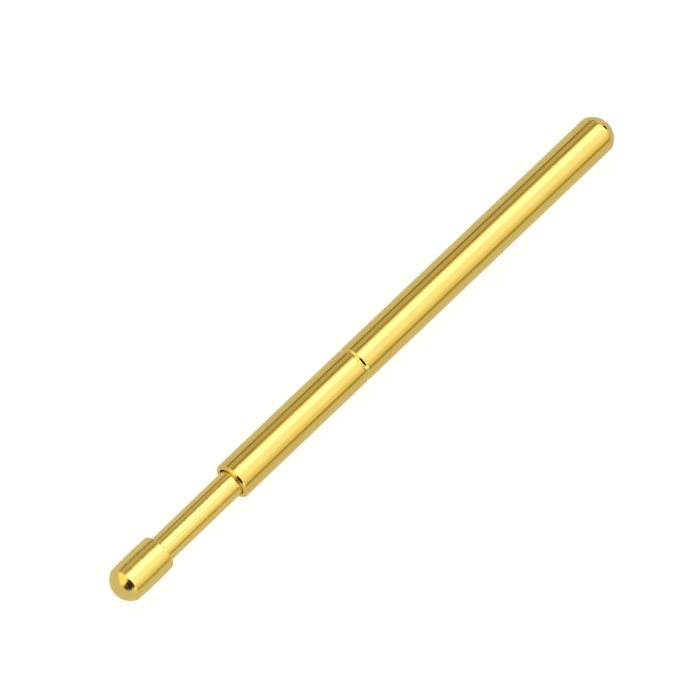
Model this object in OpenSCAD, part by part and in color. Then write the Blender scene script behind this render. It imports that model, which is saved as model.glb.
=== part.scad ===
// Spring-loaded contact pin: a drawn barrel, a domed plunger held by a rolled groove,
// and the coil spring between them. Millimetres. The pin lies along X: the plunger points
// to -X, the closed end of the barrel to +X, and the barrel's mouth is at x = 0.

/* [Barrel] */
// Outside diameter of the tube
barrel_d = 1.36; // [1.30:0.01:1.45]
// Length from the mouth to the end of the dome
barrel_len = 18.4; // [17:0.1:22]
// Radial wall thickness of the tube
wall = 0.14; // [0.11:0.01:0.15]
// Diameter of the mouth, where the end of the tube is rolled in
mouth_d = 1.02; // [1.00:0.01:1.06]
// Outside radius of the rolled mouth
mouth_roll = 0.22; // [0.15:0.01:0.25]
// Radius of the rounded edge inside the mouth
mouth_edge = 0.05; // [0.02:0.01:0.06]
// Sphere radius of the closed end
tail_dome_r = 0.70; // [0.69:0.01:0.9]

/* [Retaining groove] */
// Distance of the groove from the mouth
groove_x = 6.0; // [5.4:0.1:7]
// Width of the groove
groove_w = 0.26; // [0.2:0.01:0.4]
// Depth of the groove in the outside of the tube
groove_depth = 0.045; // [0.02:0.005:0.06]
// Diameter inside the ridge that the groove raises in the bore
ridge_d = 0.94; // [0.92:0.01:0.96]

/* [Plunger] */
// How far the plunger stands out of the mouth at rest
plunger_out = 5.6; // [5:0.1:6.5]
// Length of the head
head_len = 2.1; // [1.6:0.1:2.4]
// Diameter of the head at its fullest
head_d = 1.346; // [1.2:0.002:1.36]
// How much smaller each end of the head is, from the tumbling, on the radius
head_crown = 0.024; // [0.005:0.001:0.04]
// Height of the domed tip
dome_h = 0.47; // [0.4:0.01:0.6]
// Sphere radius of the domed tip
dome_r = 0.68; // [0.67:0.01:0.75]
// Rounding of the edge at the back of the head
head_edge = 0.05; // [0.02:0.01:0.1]
// Diameter of the shank
shank_d = 0.96; // [0.90:0.01:0.97]
// Diameter of the waist that the ridge runs in
waist_d = 0.80; // [0.7:0.01:0.84]
// Diameter of the bearing at the inner end of the plunger
bearing_d = 1.04; // [1.01:0.01:1.05]
// Length of that bearing
bearing_len = 1.6; // [1:0.1:2]
// Full travel of the plunger
travel = 3.2; // [2:0.1:3.3]

/* [Spring] */
// Wire diameter
wire_d = 0.16; // [0.12:0.01:0.17]
// Outside diameter of the coil
coil_d = 0.98; // [0.9:0.01:1.0]
// Number of turns, the dead ones at the ends included
turns = 36; // [28:1:38]
// Dead turns at each end
dead_turns = 2; // [1:1:4]

/* [Hidden] */

$fn = 96;
barrel_r = barrel_d / 2;
bore_r = barrel_r - wall;
mouth_r = mouth_d / 2;
// the bore runs to a rounded floor that seats the spring
tail_wall = 0.22;
floor_x = barrel_len - tail_wall;
floor_round = 0.25;
ridge_r = ridge_d / 2;
ridge_w = groove_w * 1.2;

head_r = head_d / 2;
tip_x = -plunger_out;
head_back_x = tip_x + head_len;
dome_back_x = tip_x + dome_h;
bearing_gap = 0.02;
bearing_x = groove_x + ridge_w / 2 + bearing_gap;
tail_x = bearing_x + bearing_len;
// the shank ends where full travel would bring it up to the ridge
shoulder_gap = 0.25;
shank_end_x = groove_x - ridge_w / 2 - shoulder_gap - travel;
chamfer = 0.06;
pilot_r = 0.28;
pilot_len = 0.15;

wire_r = wire_d / 2;
helix_r = coil_d / 2 - wire_r;
seat_gap = 0.005;
// the end turn rests in the rounding of the floor
seat_depth = sqrt(pow(floor_round - wire_r, 2) - pow(helix_r - bore_r + floor_round, 2));
spring_end_x = floor_x - floor_round + seat_depth + wire_r - seat_gap;
spring_start_x = tail_x + seat_gap;
dead_pitch = wire_d * 1.03;
live_turns = turns - 2 * dead_turns;
coil_run = spring_end_x - spring_start_x - wire_d;
live_pitch = (coil_run - 2 * dead_turns * dead_pitch) / live_turns;
turn_steps = 12;
wire_sides = 8;

// A smooth dip, 1 at its middle and 0 at both ends, for u from -1 to 1
function dip(u) = (1 + cos(180 * u)) / 2;

// The part of a drawing on the plus side of the axis, turned about X
module turned() {
    rotate([0, 90, 0]) rotate_extrude() children();
}

// A rectangle from radius r1 to r2 and from x1 to x2
module band(r1, r2, x1, x2) {
    translate([r1, x1]) square([r2 - r1, x2 - x1]);
}

// What a rounding of radius r takes off a square corner that points to +r and +x
module corner_waste(r) {
    difference() {
        square(r * 1.5);
        circle(r);
    }
}

// The strip that a roller presses out of a wall of radius r, with soft shoulders
module rolled_dip(r, width, depth) {
    steps = 16;
    polygon([
        for (i = [0 : steps])
            let (u = 2 * i / steps - 1)
            [r - depth * dip(u), u * width / 2]
    ]);
}

// Outline of the barrel with no bore
module barrel_outside() {
    intersection() {
        union() {
            band(0, barrel_r, mouth_roll, barrel_len);
            band(0, barrel_r - mouth_roll, 0, mouth_roll);
            intersection() {
                translate([barrel_r - mouth_roll, mouth_roll]) circle(mouth_roll);
                band(0, barrel_r, 0, mouth_roll * 2);
            }
        }
        union() {
            translate([0, barrel_len - tail_dome_r]) circle(tail_dome_r);
            band(0, barrel_d, 0, barrel_len - tail_dome_r);
        }
        band(0, barrel_d, 0, barrel_len);
    }
}

// The bore: rolled mouth, long straight bore, floor with a round corner
module barrel_bore() {
    relief_x = mouth_roll + wall;
    difference() {
        union() {
            band(0, mouth_r, -1, relief_x);
            polygon([
                [0, mouth_roll],
                [mouth_r, mouth_roll],
                [bore_r, relief_x],
                [bore_r, floor_x - floor_round],
                [0, floor_x - floor_round]
            ]);
            band(0, bore_r - floor_round, floor_x - floor_round, floor_x);
            intersection() {
                translate([bore_r - floor_round, floor_x - floor_round]) circle(floor_round);
                band(0, bore_r, floor_x - floor_round, floor_x);
            }
        }
        // the ridge that the rolled groove raises
        translate([0, groove_x]) rolled_dip(bore_r, ridge_w, bore_r - ridge_r);
    }
    // the rounded edge inside the mouth
    translate([mouth_r + mouth_edge, mouth_edge]) rotate(180) corner_waste(mouth_edge);
}

module barrel() {
    color([0.86, 0.72, 0.32]) turned() difference() {
        barrel_outside();
        barrel_bore();
        translate([0, groove_x]) rolled_dip(barrel_r, groove_w, groove_depth);
    }
}

// Outline of the head: domed in front, slightly barrelled along its side
module head_outline() {
    steps = 12;
    front_x = tip_x + dome_h;
    difference() {
        intersection() {
            polygon(concat(
                [[0, head_back_x], [0, tip_x], [head_r - head_crown, tip_x]],
                [
                    for (i = [0 : steps])
                        let (u = 2 * i / steps - 1)
                        [head_r - head_crown * u * u, front_x + (head_back_x - front_x) * (1 + u) / 2]
                ]
            ));
            union() {
                translate([0, tip_x + dome_r]) circle(dome_r);
                band(0, head_d, dome_back_x, head_back_x);
            }
        }
        translate([head_r - head_crown - head_edge, head_back_x - head_edge]) corner_waste(head_edge);
    }
}

// Outline of the rod behind the head: shank, waist and bearing with its pilot
module rod_outline() {
    shank_r = shank_d / 2;
    waist_r = waist_d / 2;
    bearing_r = bearing_d / 2;
    polygon([
        [0, head_back_x - chamfer],
        [shank_r, head_back_x - chamfer],
        [shank_r, shank_end_x - chamfer],
        [waist_r, shank_end_x],
        [waist_r, bearing_x],
        [bearing_r - chamfer / 2, bearing_x],
        [bearing_r, bearing_x + chamfer],
        [bearing_r, tail_x - chamfer],
        [bearing_r - chamfer, tail_x],
        [pilot_r, tail_x],
        [0, tail_x + pilot_len]
    ]);
}

module plunger() {
    color([0.90, 0.76, 0.34]) turned() union() {
        head_outline();
        rod_outline();
    }
}

// Place of the wire's middle along X after t turns
function wire_x(t) =
    spring_start_x + wire_r
    + min(t, dead_turns) * dead_pitch
    + min(max(t - dead_turns, 0), live_turns) * live_pitch
    + max(t - dead_turns - live_turns, 0) * dead_pitch;

// Points round the wire, after t turns
function wire_ring(t) = [
    for (s = [0 : wire_sides - 1])
        let (
            a = 360 * s / wire_sides,
            r = helix_r + wire_r * cos(a)
        )
        [wire_x(t) + wire_r * sin(a), r * cos(360 * t), r * sin(360 * t)]
];

module spring() {
    rings = turns * turn_steps;
    points = [for (i = [0 : rings]) each wire_ring(i / turn_steps)];
    sides = [
        for (i = [0 : rings - 1])
            for (s = [0 : wire_sides - 1])
                let (
                    s2 = (s + 1) % wire_sides,
                    p = i * wire_sides,
                    q = p + wire_sides
                )
                each [[p + s, p + s2, q + s2], [p + s, q + s2, q + s]]
    ];
    first_end = [for (s = [wire_sides - 1 : -1 : 0]) s];
    last_end = [for (s = [0 : wire_sides - 1]) rings * wire_sides + s];
    color([0.72, 0.66, 0.50]) polyhedron(points, concat(sides, [first_end, last_end]));
}

barrel();
plunger();
spring();
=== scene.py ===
"""A spring-loaded contact pin, gold plated.

It has three pieces: the drawn barrel, the turned plunger and the coil spring inside.

The pin lies along X on a pale floor. The plunger points to -X, the closed end of the barrel to +X,
and the mouth of the barrel is at x = 0. Everything is in metres.
"""

import math

import bpy
from bpy.props import FloatProperty, FloatVectorProperty, IntProperty, PointerProperty
from mathutils import Matrix, Vector


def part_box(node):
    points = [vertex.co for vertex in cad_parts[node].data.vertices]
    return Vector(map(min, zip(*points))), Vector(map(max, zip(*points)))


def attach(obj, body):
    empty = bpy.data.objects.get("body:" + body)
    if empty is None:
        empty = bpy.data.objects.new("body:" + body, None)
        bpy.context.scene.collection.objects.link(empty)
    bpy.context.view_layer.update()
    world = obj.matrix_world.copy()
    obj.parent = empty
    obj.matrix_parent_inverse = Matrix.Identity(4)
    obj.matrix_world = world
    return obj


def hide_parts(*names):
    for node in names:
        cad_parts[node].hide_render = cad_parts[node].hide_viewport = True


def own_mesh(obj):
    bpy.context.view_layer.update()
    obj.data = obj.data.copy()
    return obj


bl_info = {
    "name": "Spring contact pin",
    "version": (1, 0, 0),
    "blender": (4, 5, 0),
    "location": "View3D > Sidebar > Contact pin",
    "description": "Builds a gold-plated spring contact pin and its small studio",
    "category": "Object",
}

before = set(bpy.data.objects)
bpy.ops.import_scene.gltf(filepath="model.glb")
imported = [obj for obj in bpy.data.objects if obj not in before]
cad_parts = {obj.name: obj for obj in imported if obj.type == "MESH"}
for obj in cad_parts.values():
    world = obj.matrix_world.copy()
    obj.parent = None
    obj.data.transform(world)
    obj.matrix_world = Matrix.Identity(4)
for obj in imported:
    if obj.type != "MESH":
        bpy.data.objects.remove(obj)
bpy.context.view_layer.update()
barrel_low, barrel_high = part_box("barrel")
plunger_low, plunger_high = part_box("plunger")
spring_low, spring_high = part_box("spring")

MM = 0.001
SEGMENTS = 160  # round each turned piece
SMOOTH_ANGLE = math.radians(11)  # edges sharper than this stay sharp


def linear(code):
    """The linear colour of an sRGB hex code."""
    shares = [int(code[i : i + 2], 16) / 255 for i in (0, 2, 4)]
    return tuple(s / 12.92 if s <= 0.04045 else ((s + 0.055) / 1.055) ** 2.4 for s in shares)


# ---------------------------------------------------------------- sizes and colours


def size(name, description, millimetres):
    """A length that a user would change."""
    return FloatProperty(
        name=name, description=description, default=millimetres * MM, unit="LENGTH", precision=6
    )


class PIN_PG_barrel(bpy.types.PropertyGroup):
    """What the barrel's box doesn't give"""

    shoulder: size("Mouth shoulder", "Radius where the tube starts to turn in", 0.07)
    nose: size("Mouth edge", "Rounding between the turned-in end and the bore", 0.07)
    turn_in: FloatProperty(
        name="Mouth slope",
        description="How steeply the mouth is turned in",
        default=math.radians(43),
        subtype="ANGLE",
    )
    relief: size("Mouth relief", "Where the bore reaches its full width", 0.36)
    mouth: size("Mouth radius", "Radius of the opening that guides the shank", 0.51)
    wall: size("Wall", "Thickness of the tube", 0.14)
    dome: size("End dome", "Sphere radius of the closed end", 0.72)
    crease: size("Dome crease", "Rounding between the end dome and the tube", 0.25)
    end_wall: size("End wall", "Thickness of the closed end on the axis", 0.22)
    floor_round: size("Bore corner", "Radius between the bore and its floor", 0.25)
    groove: size("Groove place", "Distance of the rolled groove from the mouth", 6.0)
    groove_width: size("Groove width", "Width of the rolled groove", 0.21)
    groove_depth: size("Groove depth", "Depth of the rolled groove", 0.045)
    ridge: size("Ridge radius", "Radius inside the ridge that the groove raises", 0.47)
    ridge_width: size("Ridge width", "Width of that ridge", 0.312)


class PIN_PG_plunger(bpy.types.PropertyGroup):
    """What the plunger's box doesn't give"""

    head_length: size("Head length", "Length of the head, its dome included", 2.1)
    head: size("Head radius", "Radius of the head at its fullest", 0.673)
    crown: size("Head crown", "How much smaller the radius is at the head's ends", 0.024)
    dome_height: size("Dome height", "Height of the domed tip", 0.43)
    dome: size("Dome radius", "Sphere radius of the domed tip", 0.70)
    head_edge: size("Head edge", "Rounding at the back of the head", 0.05)
    shank: size("Shank radius", "Radius of the shank", 0.48)
    shank_end: size("Shank end", "Where the shank gives way to the waist", 2.394)
    waist: size("Waist radius", "Radius of the waist that the ridge runs in", 0.40)
    bearing: size("Bearing radius", "Radius of the bearing at the inner end", 0.52)
    bearing_length: size("Bearing length", "Length of that bearing", 1.6)
    chamfer: size("Chamfer", "Chamfers on the rod", 0.06)
    pilot: size("Pilot radius", "Radius of the cone that enters the spring", 0.28)
    pilot_length: size("Pilot length", "Height of that cone", 0.15)
    lean: FloatProperty(
        name="Lean",
        description="How far the plunger leans to -Y within its play in the barrel",
        default=math.radians(0.258),
        subtype="ANGLE",
    )
    lean_about: size("Lean about", "Place on the axis that the lean turns about", 3.4)


class PIN_PG_spring(bpy.types.PropertyGroup):
    """What the spring's box doesn't give"""

    wire: size("Wire radius", "Radius of the wire", 0.08)
    dead_pitch: size("Dead pitch", "Pitch of the close-wound turns", 0.1648)
    turns: IntProperty(name="Turns", description="All turns, dead ones included", default=36)
    dead_turns: IntProperty(
        name="Dead turns", description="Close-wound turns at each end", default=2
    )


class PIN_PG_finish(bpy.types.PropertyGroup):
    """Colours of the plating"""

    plate: FloatVectorProperty(
        name="Gold plate",
        description="Thin bright gold over brass",
        size=3,
        subtype="COLOR",
        default=linear("FCE080"),
    )
    plate_worn: FloatVectorProperty(
        name="Thin plate",
        description="The same plate where it lies a little thinner",
        size=3,
        subtype="COLOR",
        default=linear("F4D46E"),
    )


# ---------------------------------------------------------------- modelling


def arc(x, r, radius, start, end, steps):
    """Places (x, r) along an arc, its angles in degrees from +X outwards, both ends included."""
    angles = [math.radians(start + (end - start) * i / steps) for i in range(steps + 1)]
    return [(x + radius * math.cos(a), r + radius * math.sin(a)) for a in angles]


def dip(x, r, width, depth, steps):
    """Places (x, r) along a smooth rolled dip, from its -X end to its +X end."""
    across = [2 * i / steps - 1 for i in range(steps + 1)]
    return [(x + u * width / 2, r - depth * (1 + math.cos(math.pi * u)) / 2) for u in across]


def ring_by_ring(name, outline):
    """A closed body turned about X, drawn out ring by ring between two poles on the axis."""
    bpy.ops.object.select_all(action="DESELECT")
    pole_x, (x, r) = outline[0][0], outline[1]
    bpy.ops.mesh.primitive_circle_add(
        vertices=SEGMENTS, radius=r, fill_type="TRIFAN", rotation=(0, math.pi / 2, 0)
    )
    piece = bpy.context.object
    piece.name = name
    bpy.ops.object.transform_apply(location=True, rotation=True, scale=True)
    for vertex in piece.data.vertices:
        vertex.co.x = x if math.hypot(vertex.co.y, vertex.co.z) > r / 2 else pole_x
    bpy.ops.object.mode_set(mode="EDIT")
    bpy.ops.mesh.select_mode(type="VERT")
    bpy.ops.mesh.select_all(action="SELECT")
    bpy.ops.mesh.region_to_loop()
    for next_x, next_r in outline[2:-1]:
        bpy.ops.mesh.extrude_region_move(TRANSFORM_OT_translate={"value": (next_x - x, 0, 0)})
        grow = next_r / r
        bpy.ops.transform.resize(value=(1, grow, grow), center_override=(next_x, 0, 0))
        x, r = next_x, next_r
    step = outline[-1][0] - x
    bpy.ops.mesh.extrude_region_move(TRANSFORM_OT_translate={"value": (step, 0, 0)})
    bpy.ops.mesh.merge(type="CENTER")
    bpy.ops.mesh.select_all(action="SELECT")
    bpy.ops.mesh.normals_make_consistent(inside=False)
    bpy.ops.object.mode_set(mode="OBJECT")
    return piece


def finish_piece(piece, body, node, material):
    """Shades a piece, gives it its finish, ties it to its body and hides the CAD node that it
    replaces.
    """
    bpy.ops.object.select_all(action="DESELECT")
    piece.select_set(True)
    bpy.context.view_layer.objects.active = piece
    bpy.ops.object.shade_smooth_by_angle(angle=SMOOTH_ANGLE)
    piece.data.materials.clear()
    piece.data.materials.append(material)
    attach(piece, body)
    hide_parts(node)


# ---------------------------------------------------------------- materials


def add_node(tree, kind, values=None, links=None, **settings):
    """Adds a node with its settings, its socket values and the links into it."""
    node = tree.nodes.new(kind)
    for name, value in settings.items():
        setattr(node, name, value)
    for socket, value in (values or {}).items():
        node.inputs[socket].default_value = value
    for socket, source in (links or {}).items():
        tree.links.new(source, node.inputs[socket])
    return node


def new_material(name):
    """An empty node material, and its tree."""
    material = bpy.data.materials.new(name)
    material.use_nodes = True
    material.node_tree.nodes.clear()
    return material, material.node_tree


def gold_plate_drawn_brass(finish):
    """Thin gold plate over a drawn brass tube.

    The eye gets a near mirror, a little soft from the drawing lines that run lengthwise, with
    faint clouds where the plate is thinner and a few specks and pits.
    """
    material, tree = new_material("gold plate over drawn brass")
    place = add_node(tree, "ShaderNodeTexCoord").outputs["Object"]
    # drawing lines 0.02 mm apart, drawn 0.05 mm apart so that they show, and 3 mm long
    lengthwise = add_node(
        tree, "ShaderNodeMapping", {"Scale": (0.016, 1, 1)}, {"Vector": place}
    )
    lines = add_node(
        tree,
        "ShaderNodeTexNoise",
        {"Scale": 20000, "Detail": 1},
        {"Vector": lengthwise.outputs["Vector"]},
    )
    # clouds in the plate, about 0.8 mm across
    clouds = add_node(
        tree, "ShaderNodeTexNoise", {"Scale": 1200, "Detail": 3}, {"Vector": place}
    )
    # sockets 6 and 7 are the two colours
    colour = add_node(
        tree,
        "ShaderNodeMix",
        {6: (*finish.plate, 1), 7: (*finish.plate_worn, 1)},
        {0: clouds.outputs["Fac"]},
        data_type="RGBA",
    )
    rough = add_node(
        tree,
        "ShaderNodeMapRange",
        {"From Min": 0.3, "From Max": 0.7, "To Min": 0.10, "To Max": 0.17},
        {"Value": clouds.outputs["Fac"]},
    )
    # pits about 0.05 mm across and 0.6 mm apart
    cells = add_node(
        tree, "ShaderNodeTexVoronoi", {"Scale": 1700, "Randomness": 1}, {"Vector": place}
    )
    pits = add_node(
        tree,
        "ShaderNodeMapRange",
        {"From Min": 0.02, "From Max": 0.05, "To Min": 0, "To Max": 1},
        {"Value": cells.outputs["Distance"]},
    )
    pitted = add_node(
        tree,
        "ShaderNodeBump",
        {"Strength": 1, "Distance": 0.003 * MM},
        {"Height": pits.outputs["Result"]},
    )
    drawn = add_node(
        tree,
        "ShaderNodeBump",
        {"Strength": 1, "Distance": 0.0008 * MM},
        {"Height": lines.outputs["Fac"], "Normal": pitted.outputs["Normal"]},
    )
    surface = add_node(
        tree,
        "ShaderNodeBsdfPrincipled",
        {"Metallic": 1},
        {
            "Base Color": colour.outputs[2],
            "Roughness": rough.outputs["Result"],
            "Normal": drawn.outputs["Normal"],
        },
    )
    add_node(
        tree, "ShaderNodeOutputMaterial", links={"Surface": surface.outputs["BSDF"]}
    )
    return material


def gold_plate_turned_metal(finish):
    """Thin gold plate over a turned pin.

    The tool leaves fine rings round the axis, so every reflection has ragged edges along them.
    """
    material, tree = new_material("gold plate over turned metal")
    place = add_node(tree, "ShaderNodeTexCoord").outputs["Object"]
    # turning rings 0.02 mm apart, drawn 0.09 mm apart and in 0.6 mm lengths so that they show
    round_axis = add_node(
        tree, "ShaderNodeMapping", {"Scale": (1, 0.16, 0.16)}, {"Vector": place}
    )
    rings = add_node(
        tree,
        "ShaderNodeTexNoise",
        {"Scale": 11000, "Detail": 2, "Roughness": 0.6},
        {"Vector": round_axis.outputs["Vector"]},
    )
    rough = add_node(
        tree,
        "ShaderNodeMapRange",
        {"From Min": 0.3, "From Max": 0.7, "To Min": 0.13, "To Max": 0.24},
        {"Value": rings.outputs["Fac"]},
    )
    turned = add_node(
        tree,
        "ShaderNodeBump",
        {"Strength": 1, "Distance": 0.011 * MM},
        {"Height": rings.outputs["Fac"]},
    )
    surface = add_node(
        tree,
        "ShaderNodeBsdfPrincipled",
        {"Metallic": 1, "Base Color": (*finish.plate, 1)},
        {"Roughness": rough.outputs["Result"], "Normal": turned.outputs["Normal"]},
    )
    add_node(
        tree, "ShaderNodeOutputMaterial", links={"Surface": surface.outputs["BSDF"]}
    )
    return material


def gold_plate_spring_wire(finish):
    """Thin gold plate over hard-drawn spring wire.

    Duller than the tube, with short scratches from winding.
    """
    material, tree = new_material("gold plate over spring wire")
    place = add_node(tree, "ShaderNodeTexCoord").outputs["Object"]
    # winding scratches 0.03 mm apart
    scratches = add_node(
        tree, "ShaderNodeTexNoise", {"Scale": 30000, "Detail": 2}, {"Vector": place}
    )
    rough = add_node(
        tree,
        "ShaderNodeMapRange",
        {"From Min": 0.3, "From Max": 0.7, "To Min": 0.22, "To Max": 0.36},
        {"Value": scratches.outputs["Fac"]},
    )
    wound = add_node(
        tree,
        "ShaderNodeBump",
        {"Strength": 1, "Distance": 0.001 * MM},
        {"Height": scratches.outputs["Fac"]},
    )
    surface = add_node(
        tree,
        "ShaderNodeBsdfPrincipled",
        {"Metallic": 1, "Base Color": (*finish.plate_worn, 1)},
        {"Roughness": rough.outputs["Result"], "Normal": wound.outputs["Normal"]},
    )
    add_node(
        tree, "ShaderNodeOutputMaterial", links={"Surface": surface.outputs["BSDF"]}
    )
    return material


# ---------------------------------------------------------------- the pieces


class PIN_OT_barrel(bpy.types.Operator):
    """Draws the tube: closed domed end, rolled groove, rolled-in mouth, bore and its ridge"""

    bl_idname = "pin.barrel"
    bl_label = "Barrel"

    def execute(self, context):
        s = context.scene.pin_barrel
        outer, length = barrel_high.z, barrel_high.x
        bore = outer - s.wall
        dome_x = length - s.dome
        crease_x = dome_x + math.sqrt((s.dome - s.crease) ** 2 - (outer - s.crease) ** 2)
        crease_angle = math.degrees(math.atan2(outer - s.crease, crease_x - dome_x))
        floor_x = length - s.end_wall
        corner_x = floor_x - s.floor_round
        # the mouth: a round shoulder, a cone that is turned in, and a round edge beside the bore
        slope = math.degrees(s.turn_in)
        edge_x, edge_r = s.nose, s.mouth + s.nose
        cone_end_x = edge_x - s.nose * math.sin(s.turn_in)
        cone_end_r = edge_r + s.nose * math.cos(s.turn_in)
        cone_start_r = outer - s.shoulder * (1 - math.cos(s.turn_in))
        cone_start_x = cone_end_x + (cone_start_r - cone_end_r) / math.tan(s.turn_in)
        shoulder_x = cone_start_x + s.shoulder * math.sin(s.turn_in)
        outside = (
            arc(dome_x, 0, s.dome, 0, crease_angle, 24)
            + arc(crease_x, outer - s.crease, s.crease, crease_angle, 90, 8)[1:]
            + dip(s.groove, outer, s.groove_width, s.groove_depth, 30)[::-1]
            + arc(shoulder_x, outer - s.shoulder, s.shoulder, 90, 90 + slope, 8)
        )
        inside = (
            arc(edge_x, edge_r, s.nose, 90 + slope, 270, 12)
            + [(s.relief - s.wall, s.mouth), (s.relief, bore)]
            + dip(s.groove, bore, s.ridge_width, bore - s.ridge, 20)
            + arc(corner_x, bore - s.floor_round, s.floor_round, 90, 0, 12)
            + [(floor_x, 0)]
        )
        barrel = ring_by_ring("barrel_tube", outside + inside)
        finish = context.scene.pin_finish
        finish_piece(barrel, "barrel", "barrel", gold_plate_drawn_brass(finish))
        return {"FINISHED"}


class PIN_OT_plunger(bpy.types.Operator):
    """Turns the plunger: domed head, shank, waist, bearing and pilot cone"""

    bl_idname = "pin.plunger"
    bl_label = "Plunger"

    def execute(self, context):
        s = context.scene.pin_plunger
        tip, back = plunger_low.x, plunger_low.x + s.head_length
        crease = tip + s.dome_height
        tail = plunger_high.x - s.pilot_length
        crease_angle = math.degrees(math.acos((s.dome_height - s.dome) / s.dome))
        edge = s.head - s.crown - s.head_edge
        last = 1 - 2 * s.head_edge / (back - crease)
        across = [-1 + (1 + last) * i / 14 for i in range(15)]
        head = arc(tip + s.dome, 0, s.dome, 180, crease_angle, 26)[:-1] + [
            (crease + (back - crease) * (1 + u) / 2, s.head - s.crown * u * u) for u in across
        ]
        rim = arc(back - s.head_edge, edge, s.head_edge, 80, 0, 8)
        rod = [
            (back, s.shank),
            (s.shank_end - s.chamfer, s.shank),
            (s.shank_end, s.waist),
            (tail - s.bearing_length, s.waist),
            (tail - s.bearing_length, s.bearing - s.chamfer / 2),
            (tail - s.bearing_length + s.chamfer, s.bearing),
            (tail - s.chamfer, s.bearing),
            (tail, s.bearing - s.chamfer),
            (tail, s.pilot),
            (plunger_high.x, 0),
        ]
        plunger = ring_by_ring("plunger_pin", head + rim + rod)
        # it touches the mouth on one side and the bore on the other, pressed in or not
        pivot = Matrix.Translation((s.lean_about, 0, 0))
        plunger.data.transform(pivot @ Matrix.Rotation(s.lean, 4, "Z") @ pivot.inverted())
        finish = context.scene.pin_finish
        finish_piece(
            plunger, "plunger", "plunger", gold_plate_turned_metal(finish)
        )
        return {"FINISHED"}


class PIN_OT_spring(bpy.types.Operator):
    """Winds the coil spring, with two close turns at each end"""

    bl_idname = "pin.spring"
    bl_label = "Spring"

    def execute(self, context):
        s = context.scene.pin_spring
        sides, steps = 12, 32
        coil = spring_high.z - s.wire
        run = spring_high.x - spring_low.x - 2 * s.wire
        live_turns = s.turns - 2 * s.dead_turns
        live_pitch = (run - 2 * s.dead_turns * s.dead_pitch) / live_turns
        bpy.ops.object.select_all(action="DESELECT")
        bpy.ops.mesh.primitive_circle_add(
            vertices=sides, radius=s.wire, location=(spring_low.x + s.wire, coil, 0)
        )
        spring = context.object
        spring.name = "coil_spring"
        bpy.ops.object.transform_apply(location=True, rotation=True, scale=True)
        wound = spring.modifiers.new("winding", "SCREW")
        wound.axis = "X"
        wound.screw_offset = live_pitch
        wound.iterations = s.turns
        wound.steps = wound.render_steps = steps
        bpy.ops.object.modifier_apply(modifier="winding")
        # the dead turns lie closer than the live ones
        for vertex in spring.data.vertices:
            turn = (vertex.index // sides) / steps
            dead = min(turn, s.dead_turns) + max(turn - s.dead_turns - live_turns, 0)
            vertex.co.x -= dead * (live_pitch - s.dead_pitch)
        bpy.ops.object.mode_set(mode="EDIT")
        bpy.ops.mesh.select_mode(type="EDGE")
        bpy.ops.mesh.select_all(action="DESELECT")
        bpy.ops.mesh.select_non_manifold()
        bpy.ops.mesh.edge_face_add()
        bpy.ops.mesh.select_all(action="SELECT")
        bpy.ops.mesh.normals_make_consistent(inside=False)
        bpy.ops.object.mode_set(mode="OBJECT")
        finish = context.scene.pin_finish
        finish_piece(spring, "barrel", "spring", gold_plate_spring_wire(finish))
        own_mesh(spring)
        return {"FINISHED"}


# ---------------------------------------------------------------- the studio


class PIN_PG_studio(bpy.types.PropertyGroup):
    """Where the camera stands and how bright the studio is"""

    tilt: FloatProperty(
        name="Tilt",
        description="How far the camera leans from overhead towards the plunger",
        default=math.radians(22),
        subtype="ANGLE",
    )
    roll: FloatProperty(
        name="Roll",
        description="Angle at which the pin rises across the picture",
        default=math.radians(43.563),
        subtype="ANGLE",
    )
    lens: FloatProperty(
        name="Lens", description="Focal length in millimetres", default=1600, subtype="NONE"
    )
    view_width: size("View width", "Width of the picture on the pin", 22.95)
    centre: size("Centre", "Place on the axis at the middle of the picture", 6.73)
    shift_right: size("Shift right", "Picture centre from there, to the right", -0.622)
    shift_up: size("Shift up", "Picture centre from there, upwards", 0.037)


# how bright the floor's own glow is, to the camera and in what the metal mirrors
FLOOR_SEEN = 0.75
FLOOR_MIRRORED = 0.34
# how bright the world is, in what the metal mirrors and to everything else
WORLD_MIRRORED = 0.68
WORLD_LEVEL = 0.3

TENT_RADIUS = 0.3
TENT_STRENGTH = 2.2

# tints of the tent's cloth
WHITE = "FFFFFF"
COOL = "FFF1FF"
LINEN = "FFF9E7"
STRAW = "FFF7D2"
HONEY = "FFF6C8"
OLIVE = "FFEAA2"
AMBER = "FFDF5D"

# strips of the tent: from and to, in degrees from overhead towards -Y, brightness and tint
TENT_STRIPS = (
    (-90, -83, 0.07, OLIVE),  # hem on the +Y side
    (-79, -56, 0.24, STRAW),  # cloth in the shade
    (-51, -46, 0.13, OLIVE),  # fold
    (-38, -36, 0.38, COOL),
    (-27, -10, 0.95, WHITE),  # the lit front
    (1, 5, 0.62, COOL),
    (12, 33, 0.50, WHITE),  # the crown
    (45, 48, 0.41, LINEN),
    (58, 63, 0.37, HONEY),
    (72, 77, 0.17, AMBER),  # fold
    (86, 90, 0.29, WHITE),  # hem on the -Y side
)


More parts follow.
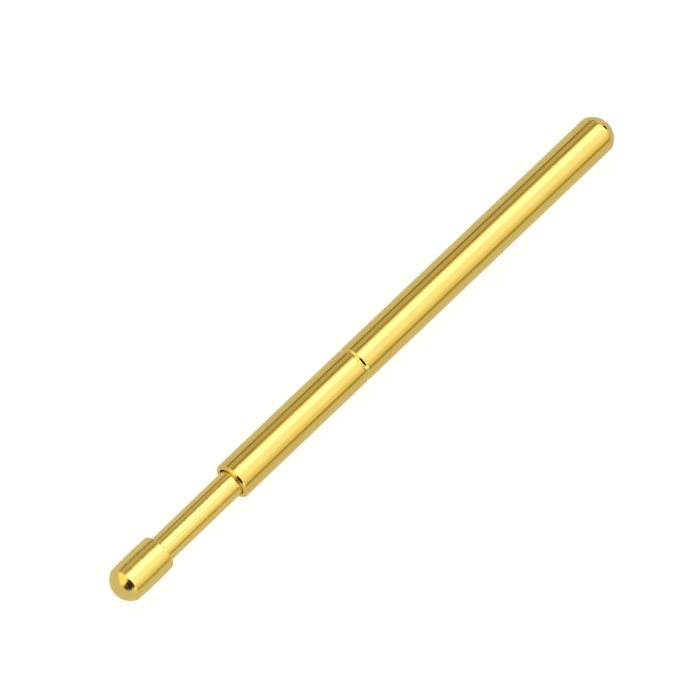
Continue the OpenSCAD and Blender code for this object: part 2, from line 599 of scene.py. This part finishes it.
def studio_floor():
    """A matt pale sheet that the pin lies on.

    It is nearly white to the camera and keeps a faint shadow of the pin.
    """
    material, tree = new_material("matt pale paper")
    path = add_node(tree, "ShaderNodeLightPath")
    seen = add_node(
        tree,
        "ShaderNodeMath",
        {1: FLOOR_SEEN},
        {0: path.outputs["Is Camera Ray"], 2: path.outputs["Is Transmission Ray"]},
        operation="MULTIPLY_ADD",
    )
    mirrored = add_node(
        tree,
        "ShaderNodeMath",
        {1: FLOOR_MIRRORED},
        {0: path.outputs["Is Glossy Ray"], 2: seen.outputs[0]},
        operation="MULTIPLY_ADD",
    )
    glow = add_node(
        tree,
        "ShaderNodeEmission",
        {"Color": (1, 1, 1, 1)},
        {"Strength": mirrored.outputs[0]},
    )
    paper = add_node(tree, "ShaderNodeBsdfDiffuse", {"Color": (0.8, 0.8, 0.8, 1)})
    both = add_node(
        tree, "ShaderNodeAddShader", links={0: glow.outputs[0], 1: paper.outputs[0]}
    )
    add_node(tree, "ShaderNodeOutputMaterial", links={"Surface": both.outputs[0]})
    bpy.ops.object.select_all(action="DESELECT")
    bpy.ops.mesh.primitive_plane_add(size=0.3, location=(0, 0, barrel_low.z))
    floor = bpy.context.object
    floor.name = "floor_sheet"
    floor.data.materials.append(material)


def reflection_only(thing):
    """Shows a studio thing in reflections, and nowhere else."""
    thing.visible_camera = False
    thing.visible_diffuse = False
    thing.visible_transmission = False
    thing.visible_volume_scatter = False
    thing.visible_shadow = False


def facing(direction, distance):
    """The place of a thing that faces the pin from there, its X level and its Y upwards."""
    back = Vector(direction).normalized()
    level = Vector((0, 0, 1)).cross(back).normalized()
    turn = Matrix((level, back.cross(level), back)).transposed().to_4x4()
    return Matrix.Translation(back * distance) @ turn


def light_tent():
    """A long half-round tent of cloth over the pin, seen only in what the metal mirrors."""
    material, tree = new_material("lit tent cloth")
    place = add_node(tree, "ShaderNodeTexCoord").outputs["Object"]
    parts = add_node(tree, "ShaderNodeSeparateXYZ", links={"Vector": place})
    other_way = add_node(
        tree, "ShaderNodeMath", {1: -1}, {0: parts.outputs["Y"]}, operation="MULTIPLY"
    )
    angle = add_node(
        tree,
        "ShaderNodeMath",
        links={0: other_way.outputs[0], 1: parts.outputs["Z"]},
        operation="ARCTAN2",
    )
    share = add_node(
        tree,
        "ShaderNodeMapRange",
        {"From Min": -math.pi / 2, "From Max": math.pi / 2},
        {"Value": angle.outputs[0]},
    )
    ramp = add_node(tree, "ShaderNodeValToRGB", links={"Fac": share.outputs["Result"]})
    # a new ramp has two stops: one goes, and the other ends up as the last strip's far edge
    stops = ramp.color_ramp.elements
    stops.remove(stops[0])
    for start, end, brightness, tint in TENT_STRIPS:
        colour = (*(brightness * share for share in linear(tint)), 1)
        for degrees in (start, end):
            if degrees < 90:
                stops.new((degrees + 90) / 180).color = colour
    stops[-1].color = colour
    glow = add_node(
        tree, "ShaderNodeEmission", {"Strength": TENT_STRENGTH}, {"Color": ramp.outputs["Color"]}
    )
    add_node(tree, "ShaderNodeOutputMaterial", links={"Surface": glow.outputs[0]})
    bpy.ops.object.select_all(action="DESELECT")
    bpy.ops.mesh.primitive_cylinder_add(
        vertices=128,
        radius=TENT_RADIUS,
        depth=0.56,
        end_fill_type="NOTHING",
        location=(0.22, 0, 0),
        rotation=(0, math.pi / 2, 0),
    )
    tent = bpy.context.object
    tent.name = "light_tent"
    bpy.ops.object.transform_apply(location=True, rotation=True, scale=True)
    bpy.ops.object.mode_set(mode="EDIT")
    bpy.ops.mesh.select_all(action="SELECT")
    bpy.ops.mesh.bisect(plane_co=(0, 0, 0), plane_no=(0, 0, 1), clear_inner=True)
    bpy.ops.object.mode_set(mode="OBJECT")
    tent.data.materials.append(material)
    reflection_only(tent)


def card(name, direction, distance, width, height, code, strength):
    """A flat card or cloth panel that faces the pin, seen only in what the metal mirrors."""
    material, tree = new_material(name)
    glow = add_node(
        tree, "ShaderNodeEmission", {"Color": (*linear(code), 1), "Strength": strength}
    )
    add_node(tree, "ShaderNodeOutputMaterial", links={"Surface": glow.outputs[0]})
    bpy.ops.object.select_all(action="DESELECT")
    bpy.ops.mesh.primitive_plane_add(size=1)
    panel = bpy.context.object
    panel.name = name
    panel.data.transform(facing(direction, distance) @ Matrix.Diagonal((width, height, 1, 1)))
    panel.data.materials.append(material)
    reflection_only(panel)


def area_lamp(name, direction, distance, width, height, radiance):
    """A rectangular lamp that faces the pin."""
    data = bpy.data.lights.new(name, "AREA")
    data.shape = "RECTANGLE"
    data.size, data.size_y = width, height
    data.energy = radiance * width * height * math.pi
    lamp = bpy.data.objects.new(name, data)
    bpy.context.scene.collection.objects.link(lamp)
    lamp.matrix_world = facing(direction, distance)
    lamp.visible_camera = False
    return lamp


class PIN_OT_studio(bpy.types.Operator):
    """Sets up the floor, the light tent, the lamps, the world and the camera"""

    bl_idname = "pin.studio"
    bl_label = "Studio"

    def execute(self, context):
        s = context.scene.pin_studio
        studio_floor()
        light_tent()
        card("left_panel", (-0.65, 0.545, 0.53), TENT_RADIUS, 0.37, 0.23, "FFF1C4", 1.15)
        card("small_window", (-0.31, -0.82, 0.47), TENT_RADIUS, 0.06, 0.08, "FFFFFF", 6)
        card("far_window", (0.86, -0.16, 0.49), TENT_RADIUS, 0.06, 0.09, "FFFFFF", 4)
        card("dark_gap", (0.985, -0.03, 0.16), TENT_RADIUS, 0.08, 0.07, "2A2410", 1)
        back = Vector((-math.sin(s.tilt), 0, math.cos(s.tilt)))
        along = Vector((math.cos(s.tilt), 0, math.sin(s.tilt)))
        side = Vector((0, -1, 0))
        right = math.cos(s.roll) * along + math.sin(s.roll) * side
        up = math.sin(s.roll) * along - math.cos(s.roll) * side
        below = -0.10 * right - 0.53 * up + 0.84 * back
        card("dark_coat", below, 0.25, 0.20, 0.27, "2A1C05", 1)
        area_lamp("overhead_softbox", (0.25, 0.34, 0.90), 0.6, 0.4, 0.4, 0.5)
        world = bpy.data.worlds.new("white studio")
        world.use_nodes = True
        tree = world.node_tree
        tree.nodes.clear()
        path = add_node(tree, "ShaderNodeLightPath")
        seen = add_node(
            tree,
            "ShaderNodeMath",
            links={0: path.outputs["Is Camera Ray"], 1: path.outputs["Is Transmission Ray"]},
            operation="MAXIMUM",
        )
        mirrored = add_node(
            tree,
            "ShaderNodeMath",
            {1: WORLD_MIRRORED},
            {0: path.outputs["Is Glossy Ray"], 2: seen.outputs[0]},
            operation="MULTIPLY_ADD",
        )
        level = add_node(
            tree,
            "ShaderNodeMath",
            {1: WORLD_LEVEL},
            {0: mirrored.outputs[0]},
            operation="MAXIMUM",
        )
        sky = add_node(
            tree,
            "ShaderNodeBackground",
            {"Color": (1, 1, 1, 1)},
            {"Strength": level.outputs[0]},
        )
        add_node(tree, "ShaderNodeOutputWorld", links={"Surface": sky.outputs[0]})
        context.scene.world = world

        data = bpy.data.cameras.new("studio_camera")
        data.lens = s.lens
        camera = bpy.data.objects.new("studio_camera", data)
        context.scene.collection.objects.link(camera)
        distance = s.view_width * s.lens / data.sensor_width
        data.clip_start, data.clip_end = distance / 10, distance * 2
        aim = Vector((s.centre, 0, 0)) + s.shift_right * right + s.shift_up * up
        turn = Matrix((right, up, back)).transposed().to_4x4()
        camera.matrix_world = Matrix.Translation(aim + back * distance) @ turn
        context.scene.camera = camera
        context.scene.view_settings.view_transform = "Standard"
        return {"FINISHED"}


class PIN_PT_sidebar(bpy.types.Panel):
    """Lists the steps in the 3D view's sidebar"""

    bl_label = "Contact pin"
    bl_idname = "PIN_PT_sidebar"
    bl_space_type = "VIEW_3D"
    bl_region_type = "UI"
    bl_category = "Contact pin"

    def draw(self, context):
        for step in STEPS:
            self.layout.operator(step.bl_idname)


GROUPS = {
    "pin_barrel": PIN_PG_barrel,
    "pin_plunger": PIN_PG_plunger,
    "pin_spring": PIN_PG_spring,
    "pin_finish": PIN_PG_finish,
    "pin_studio": PIN_PG_studio,
}
STEPS = (PIN_OT_barrel, PIN_OT_plunger, PIN_OT_spring, PIN_OT_studio)


def register():
    for name, group in GROUPS.items():
        bpy.utils.register_class(group)
        setattr(bpy.types.Scene, name, PointerProperty(type=group))
    for step in (*STEPS, PIN_PT_sidebar):
        bpy.utils.register_class(step)


def unregister():
    for step in (*STEPS, PIN_PT_sidebar):
        bpy.utils.unregister_class(step)
    for name, group in GROUPS.items():
        delattr(bpy.types.Scene, name)
        bpy.utils.unregister_class(group)


def main():
    register()
    bpy.ops.pin.barrel()
    bpy.ops.pin.plunger()
    bpy.ops.pin.spring()
    bpy.ops.pin.studio()


if __name__ == "__main__":
    main()
